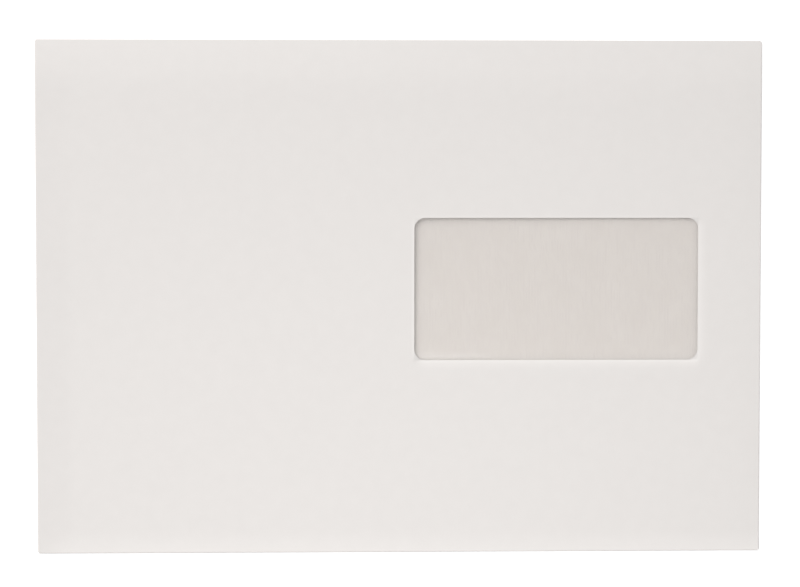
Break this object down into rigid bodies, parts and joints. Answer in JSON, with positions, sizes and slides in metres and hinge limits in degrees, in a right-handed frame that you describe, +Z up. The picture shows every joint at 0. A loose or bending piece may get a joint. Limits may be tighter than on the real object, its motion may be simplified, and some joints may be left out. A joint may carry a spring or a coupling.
{
  "type": "window envelope",
  "caption": "Flat C5 paper envelope with an address window at the right of its front, clear film behind the window, glued side seams and a gummed flap folded shut.",
  "frame": {"origin": "centre of the envelope's outline, on the plane that its back rests on", "axes": "+X along the length towards the window end, +Y across the height towards the seal flap's fold, +Z up out of the front panel"},
  "size_m": [0.229, 0.162, 0.0015],
  "materials": {
    "paper": "matte",
    "film": "gloss",
    "glue": "satin",
    "gum": "satin"
  },
  "bodies": {
    "root": {"folded_blank": "paper", "window_film": "film", "window_film_glue": "glue", "left_seam_glue": "glue", "right_seam_glue": "glue", "seal_flap_gum": "gum"}
  },
  "joints": []
}
